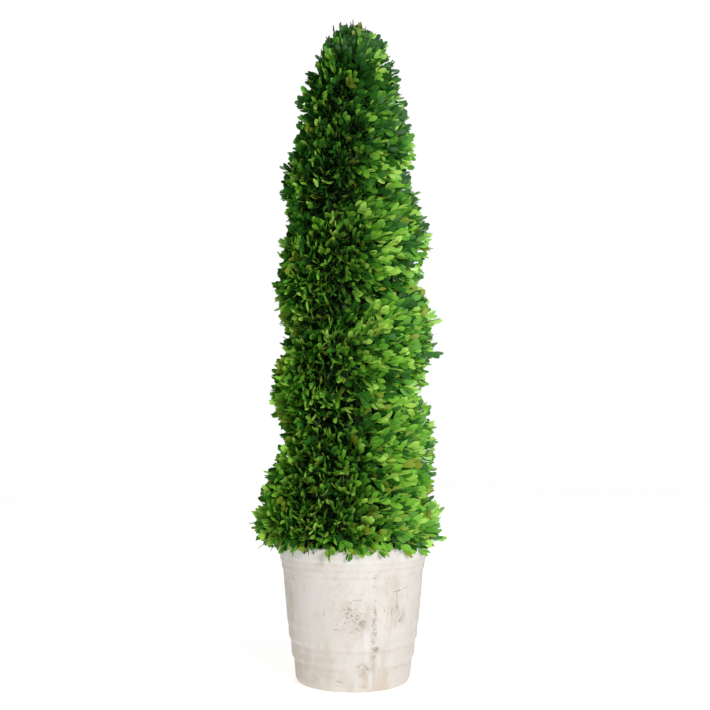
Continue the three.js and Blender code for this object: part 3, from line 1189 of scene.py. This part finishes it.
        # Worn places, the long run, flecks and scratches.
        around = turn.maths("WRAP", turn, self.REPEAT, -self.REPEAT)
        worn = self.spots(self.WEAR, around, z, (brushed - 0.5) * 1.2 + (patches - 0.5) * 1.8)
        worn = worn.maths("MAXIMUM", worn, patches.between(0.64, 0.86) * 0.45)
        streak = self.streak(around + (brushed - 0.5) * 0.12, z) * (0.48 + (patches - 0.5) * 2.8)
        worn = worn.maths("MAXIMUM", worn, streak)
        right = around.between(*map(math.radians, self.TALL_FLECKS))
        speck = speck + (tall_speck - speck) * right
        flecks = (speck - 0.66 + worn * 0.30 + right * 0.03).between(0, 0.12)
        scratches = self.scratches(around + (mottle - 0.5) * 0.06, z + (mottle - 0.5) * 0.012)
        scratches = scratches * speck.between(0.30, 0.60)

        # Painted shade along the edges of the bands, where the wall steps out.
        humps = [z.hump(height, self.COLLAR_SHADE) for height, *_ in POT_BANDS[4:]]
        humps += [z.hump(height, self.BELT_SHADE) for height, *_ in POT_BANDS[1:3]]
        band_edge_painted_shade = sum(humps[1:], humps[0]) * (patches * 1.6 - 0.35).between(0, 1)

        # Stains and thick coats, and then the colours, from the first coat to the last scratch.
        stained = (cloud - 0.5) * 1.2 + (brushed - 0.5) + (runs - 0.5) * 0.5 + worn * 0.10
        stained = stained + (patches - 0.5) * 1.2 + (mottle - 0.5) * 1.6
        stained = stained + z.between(*self.STAINED_FOOT) * 0.20
        # Stains on the front right, and stronger stains on the left, which also paint shade on the side
        # away from the key light.
        darkening = turn.between(-0.6, -1.5) * 0.45 + turn.between(0.0, 0.8) * 0.30
        stained = (stained + darkening + 0.26).between(0, 1)
        washed = finish.mix(stained, settings.wash, settings.stain)
        smeared_lime = self.spots(self.SMEARS, around, z, (brushed - 0.5) * 2.0 + (patches - 0.5) * 1.2)
        thick = coats.between(0.46, 0.55) * 0.5 + z.between(*self.LIMED_RIM) * 0.5
        thick = thick.maths("MAXIMUM", thick, smeared_lime)
        limed = finish.mix(thick * (1 - worn * 0.5), washed, settings.lime)
        smeared = finish.mix(worn * (0.02 + mottle * 0.26), limed, settings.clay)
        speckled = (mottle - 0.52) * 2.2 + (grain - 0.5) * 0.5 + rings * 0.10
        dusted = finish.mix(speckled.between(0, 1) * 0.6, smeared, settings.stain)
        # The painted shade along the bands' edges darkens the wash towards the clay.
        shadowed = finish.mix(band_edge_painted_shade * 0.22, dusted, settings.clay)
        flecked = finish.mix(flecks * 0.62, shadowed, settings.clay)
        dark = tuple(channel * 0.5 for channel in settings.clay)
        scratched = finish.mix(scratches * 0.34, flecked, dark)

        height = rings * 0.3 + grain * 0.2 + cloud * 0.3 + brushed * 0.4
        height = height + mottle * 0.3 + thick * 0.25 - flecks * 0.5
        finish.set(
            Base_Color=scratched,
            Roughness=0.78 + grain * 0.12 + flecks * 0.08,
            Normal=finish.relief(height - scratches * 0.7, self.RELIEF_DEPTH),
            Specular_IOR_Level=self.SPECULAR,
        )
        return finish.material

    def spots(self, places, around, z, ragged):
        """Ragged round spots at the places listed."""
        spots = None
        for degrees, height, half_width, half_height, strength in places:
            aside = (around - math.radians(degrees)) * (self.MIDDLE_RADIUS / half_width)
            above = (z - height) * (1 / half_height)
            near = (1.1 + ragged - (aside * aside + above * above)).between(0, 1.5) * strength
            spots = near if spots is None else spots.maths("MAXIMUM", spots, near)
        return spots

    def streak(self, around, z):
        """1 along the long run down the wall, and 0 away from it."""
        aside = (around - math.radians(self.STREAK_DEGREES)) * self.MIDDLE_RADIUS
        low, high = self.STREAK_HEIGHTS
        ends = z.between(low, low + 0.03) * z.between(high, high - 0.01)
        return aside.hump(0.0, self.STREAK_REACH) * ends

    def scratches(self, around, z):
        """1 along each scratch, and 0 away from them all."""
        nearest = None
        for from_degrees, from_height, to_degrees, to_height in self.SCRATCHES:
            across = math.radians(to_degrees - from_degrees) * self.MIDDLE_RADIUS
            up = to_height - from_height
            aside = (around - math.radians(from_degrees)) * self.MIDDLE_RADIUS
            above = z - from_height
            share = (aside * across + above * up) * (1 / (across * across + up * up))
            share = share.maths("MAXIMUM", share, 0.0)
            share = share.maths("MINIMUM", share, 1.0)
            off_line, off_end = aside - share * across, above - share * up
            distance = (off_line * off_line + off_end * off_end) ** 0.5
            nearest = distance if nearest is None else nearest.maths("MINIMUM", nearest, distance)
        return (1 - nearest * (1 / self.SCRATCH_WIDTH)).between(0, 0.8)


class TOPIARY_OT_soil(bpy.types.Operator):
    """Fill the pot with crumbly potting mix"""

    bl_idname = "topiary.soil"
    bl_label = "Potting mix"

    SEGMENTS = 96
    RINGS = 30
    # How far the crumbs stand up, how close they are, and the width of the level edge by the wall.
    CRUMB = 0.0022
    CRUMB_SCALES = (90, 30)
    LEVEL_EDGE = 0.01
    # The gaps between the mix and the pot, at its top and at its foot.
    GAP = 0.0004
    FOOT_GAP = 0.0006

    def execute(self, context):
        radius = SOIL_HIGH.x - self.GAP
        foot = POT_BANDS[0][1] - WALL_THICKNESS - self.FOOT_GAP
        top = SOIL_HIGH.z - self.CRUMB
        points = [(radius * i / self.RINGS, top) for i in range(self.RINGS + 1)]
        points += [(lerp(radius, foot, share), lerp(top, SOIL_LOW.z, share)) for share in (0.02, 0.5, 1.0)]
        points.append((0.0, SOIL_LOW.z))
        bm = spun(points, self.SEGMENTS)
        for vertex in bm.verts:
            if vertex.co.z > top - 1e-5:
                inward = min(1.0, (radius - math.hypot(vertex.co.x, vertex.co.y)) / self.LEVEL_EDGE)
                bump = sum(noise.noise(vertex.co * scale) for scale in self.CRUMB_SCALES)
                vertex.co.z += self.CRUMB * inward * bump
        mesh = mesh_from_bmesh(bm, "soil_crumbs")
        material = soil_material(context.scene.topiary_pot.soil)
        finished_piece(mesh, "soil_crumbs", [material], "potting_mix", "soil")
        return {"FINISHED"}


class TOPIARY_OT_trunk(bpy.types.Operator):
    """Model the trunk with its bark and root flare"""

    bl_idname = "topiary.trunk"
    bl_label = "Trunk"

    SIDES = 30
    RING_STEP = 0.004
    # The bark's ridges and knots: how deep they are, as shares of the radius, and how close.
    RIDGES = 0.065
    KNOTS = 0.05
    RIDGE_SCALES = (2.2, 26)
    KNOT_SCALE = 9

    def execute(self, context):
        settings = context.scene.topiary_branches
        bm = bmesh.new()
        bmesh.ops.create_circle(bm, cap_ends=True, segments=self.SIDES, radius=1.0)
        bmesh.ops.translate(bm, verts=bm.verts, vec=(0, 0, TRUNK_LOW.z))
        steps = round((TRUNK_HIGH.z - TRUNK_LOW.z) / self.RING_STEP)
        rise = (TRUNK_HIGH.z - TRUNK_LOW.z) / steps
        edges = list(bm.edges)
        for _ in range(steps):
            made = bmesh.ops.extrude_edge_only(bm, edges=edges)["geom"]
            edges = [part for part in made if isinstance(part, bmesh.types.BMEdge)]
            ring = [part for part in made if isinstance(part, bmesh.types.BMVert)]
            bmesh.ops.translate(bm, verts=ring, vec=(0, 0, rise))
        bmesh.ops.contextual_create(bm, geom=edges)
        for vertex in bm.verts:
            vertex.co = self.barked(vertex.co)
        mesh = mesh_from_bmesh(bm, "trunk_bark")
        material = bark_material("trunk_bark", settings.bark, settings.furrow, 150)
        finished_piece(mesh, "trunk_bark", [material], "bark", "trunk")
        return {"FINISHED"}

    def barked(self, place):
        """Moves a point of a straight post onto the trunk, with the bark's ridges and knots."""
        around, up = self.RIDGE_SCALES
        ridge = noise.noise(Vector((place.x * around, place.y * around, place.z * up)))
        knot = noise.noise(Vector((place.x, place.y, place.z * self.KNOT_SCALE + 5)))
        relief = 1 - self.RIDGES * (1 - ridge) + self.KNOTS * min(0.0, knot)
        reach = relief * float(np.interp(place.z, TRUNK_HEIGHTS, TRUNK_RADII))
        centre = trunk_centre(place.z)
        return Vector((centre[0] + reach * place.x, centre[1] + reach * place.y, place.z))


class TOPIARY_OT_crown(bpy.types.Operator):
    """Grow the boughs, twigs and leaves of the crown"""

    bl_idname = "topiary.crown"
    bl_label = "Crown"

    # How many sides each kind of wood's tubes have.
    SIDES = {"bough": 8, "branch": 5, "twig": 3, "stem": 3}
    # The roughness of each of the leaves' tints, in their order.
    ROUGHNESSES = (0.20, 0.22, 0.26, 0.32, 0.40, 0.45, 0.6, 0.5)

    def execute(self, context):
        branches, leaves = context.scene.topiary_branches, context.scene.topiary_leaves
        growth = Growth(Crown(MASSES), branches)
        foliage = Leaves(Sprays(growth, leaves.length), leaves)
        bark = bark_material("bough_bark", branches.bark, branches.furrow, 260)
        twig = bark_material("twig_bark", branches.twig, branches.bark, 500)
        shoot = bark_material("shoot_bark", branches.shoot, branches.twig, 700)
        self.wood(growth, "boughs", ("bough", "branch"), [bark])
        for index, name in enumerate(MASSES):
            self.wood(growth, name.replace("foliage", "twigs"), ("twig", "stem"), [twig, shoot], index)
        greens = self.greens(leaves)
        shaded = foliage.shaded_leaves()
        for index, name in enumerate(MASSES):
            self.leaves(foliage, foliage.outer, foliage.STATIONS, greens, index, "leaves", name)
            self.leaves(foliage, shaded, foliage.SHADED_STATIONS, greens, index, "shaded_leaves")
        return {"FINISHED"}

    def leaves(self, foliage, table, stations, greens, index, kind, *replaced):
        """Joins one mass's leaves into one piece."""
        chosen = table["mass"] == index
        piece = MASSES[index].replace("foliage", kind)
        points = foliage.points(table, chosen, stations)
        mesh = joined_copies(piece, points, foliage.faces(stations), table["tint"][chosen])
        finished_piece(mesh, piece, greens, "foliage", *replaced)

    def wood(self, growth, name, kinds, materials, mass=None):
        """Joins the limbs of some kinds, of one mass or of the whole crown, into one piece."""
        meshes = []
        for number, kind in enumerate(kinds):
            for limbs in growth.wood:
                if limbs["kind"] != kind:
                    continue
                chosen = np.full(len(limbs["lines"]), True) if mass is None else limbs["masses"] == mass
                lines, radii = limbs["lines"][chosen], limbs["radii"][chosen]
                if len(lines):
                    points = tube_points(lines, radii, self.SIDES[kind])
                    faces = tube_faces(lines.shape[1], self.SIDES[kind])
                    tints = np.full(len(lines), number % len(materials))
                    meshes.append(joined_copies(name, points, faces, tints))
        bm = bmesh.new()
        for mesh in meshes:
            bm.from_mesh(mesh)
            bpy.data.meshes.remove(mesh)
        joined = bpy.data.meshes.new(name)
        bm.to_mesh(joined)
        bm.free()
        joined.shade_smooth()
        finished_piece(joined, name, materials, "bark")

    def greens(self, leaves):
        """The leaves' materials: older leaves are the glossier ones."""
        return [
            leaf_material(tint, getattr(leaves, tint), roughness)
            for tint, roughness in zip(Leaves.TINTS, self.ROUGHNESSES, strict=True)
        ]


class TOPIARY_OT_stage(bpy.types.Operator):
    """Set the pale floor, the soft studio light and the camera"""

    bl_idname = "topiary.stage"
    bl_label = "Stage"

    FLOOR_RADIUS = 6.0
    FLOOR_GLOW = 0.50
    # The distances from the trunk between which the floor fades away.
    FLOOR_FADE = (1.2, 4.5)
    # How strongly the white world lights the object. It looks fully white.
    WORLD_LIGHT = 0.44
    SENSOR_WIDTH = 36
    # How far right of the trunk's line the camera stands.
    AXIS_SHIFT = 0.0036
    # Lights: name, place, height that it is aimed at, size, power, colour and how wide it spreads.
    LIGHTS = [
        ("key", (1.28, -2.91, 1.25), 0.58, 0.8, 10.3, (0.92, 0.96, 1.0), 70),
        ("front_fill", (-0.8, -3.15, 1.2), 0.62, 2.0, 3.5, (1.0, 0.96, 0.90), 180),
        ("back_fill", (0.4, 2.9, 1.8), 0.62, 1.4, 18, (0.96, 0.98, 1.0), 180),
    ]

    def execute(self, context):
        settings = context.scene.topiary_stage
        self.floor(settings.floor)
        for light in self.LIGHTS:
            self.light(*light)
        self.world(context.scene)
        self.camera(context.scene, settings)
        return {"FINISHED"}

    def floor(self, base):
        """A wide disc that fades into the white background."""
        bm = bmesh.new()
        bmesh.ops.create_circle(bm, cap_ends=True, segments=96, radius=self.FLOOR_RADIUS)
        mesh = mesh_from_bmesh(bm, "floor")
        floor = bpy.data.objects.new("floor", mesh)
        bpy.context.scene.collection.objects.link(floor)
        finish = Finish("floor")
        x, y, _ = finish.axes()
        distance = (x * x + y * y) ** 0.5
        finish.set(Base_Color=base, Roughness=0.9, Alpha=1 - distance.between(*self.FLOOR_FADE))
        finish.set(Emission_Color=(1, 1, 1), Emission_Strength=self.FLOOR_GLOW)
        mesh.materials.append(finish.material)

    def light(self, name, place, aim, size, power, tint, spread):
        data = bpy.data.lights.new(name, "AREA")
        data.shape = "DISK"
        data.size = size
        data.energy = power
        data.color = tint
        data.spread = math.radians(spread)
        light = bpy.data.objects.new(name, data)
        light.location = place
        light.rotation_euler = (Vector((0, 0, aim)) - Vector(place)).to_track_quat("-Z", "Y").to_euler()
        bpy.context.scene.collection.objects.link(light)

    def world(self, scene):
        """White behind the object, and a softer white in the light that falls on it."""
        world = bpy.data.worlds.new("studio")
        nodes = Nodes(world, "Background")
        seen = nodes.node("LightPath").outputs["Is Camera Ray"]
        strength = nodes.node("MapRange", {}, {"Value": seen, "To Min": self.WORLD_LIGHT, "To Max": 1.0})
        nodes.set(Color=(1, 1, 1), Strength=strength.outputs[0])
        scene.world = world
        scene.view_settings.view_transform = "Standard"

    def camera(self, scene, settings):
        data = bpy.data.cameras.new("camera")
        data.lens = settings.lens
        data.sensor_width = self.SENSOR_WIDTH
        camera = bpy.data.objects.new("camera", data)
        camera.location = (self.AXIS_SHIFT, -settings.distance, settings.eye_height)
        camera.rotation_euler = (math.pi / 2, 0, 0)
        scene.collection.objects.link(camera)
        scene.camera = camera


class TOPIARY_PT_panel(bpy.types.Panel):
    """Settings and steps of the topiary"""

    bl_idname = "TOPIARY_PT_panel"
    bl_label = "Topiary"
    bl_space_type = "VIEW_3D"
    bl_region_type = "UI"
    bl_category = "Topiary"

    def draw(self, context):
        for name, kind in SETTINGS.items():
            box = self.layout.box()
            for prop in kind.__annotations__:
                box.prop(getattr(context.scene, name), prop)
        for operator in OPERATORS:
            self.layout.operator(operator.bl_idname)


SETTINGS = {
    "topiary_pot": PotSettings,
    "topiary_branches": BranchSettings,
    "topiary_leaves": LeafSettings,
    "topiary_stage": StageSettings,
}
OPERATORS = [TOPIARY_OT_stage, TOPIARY_OT_pot, TOPIARY_OT_soil, TOPIARY_OT_trunk, TOPIARY_OT_crown]


def register():
    for kind in [*SETTINGS.values(), *OPERATORS, TOPIARY_PT_panel]:
        bpy.utils.register_class(kind)
    for name, kind in SETTINGS.items():
        setattr(bpy.types.Scene, name, bpy.props.PointerProperty(type=kind))


def unregister():
    for name in SETTINGS:
        delattr(bpy.types.Scene, name)
    for kind in reversed([*SETTINGS.values(), *OPERATORS, TOPIARY_PT_panel]):
        bpy.utils.unregister_class(kind)


def main():
    register()
    bpy.ops.topiary.stage()
    bpy.ops.topiary.pot()
    bpy.ops.topiary.soil()
    bpy.ops.topiary.trunk()
    bpy.ops.topiary.crown()


if __name__ == "__main__":
    main()
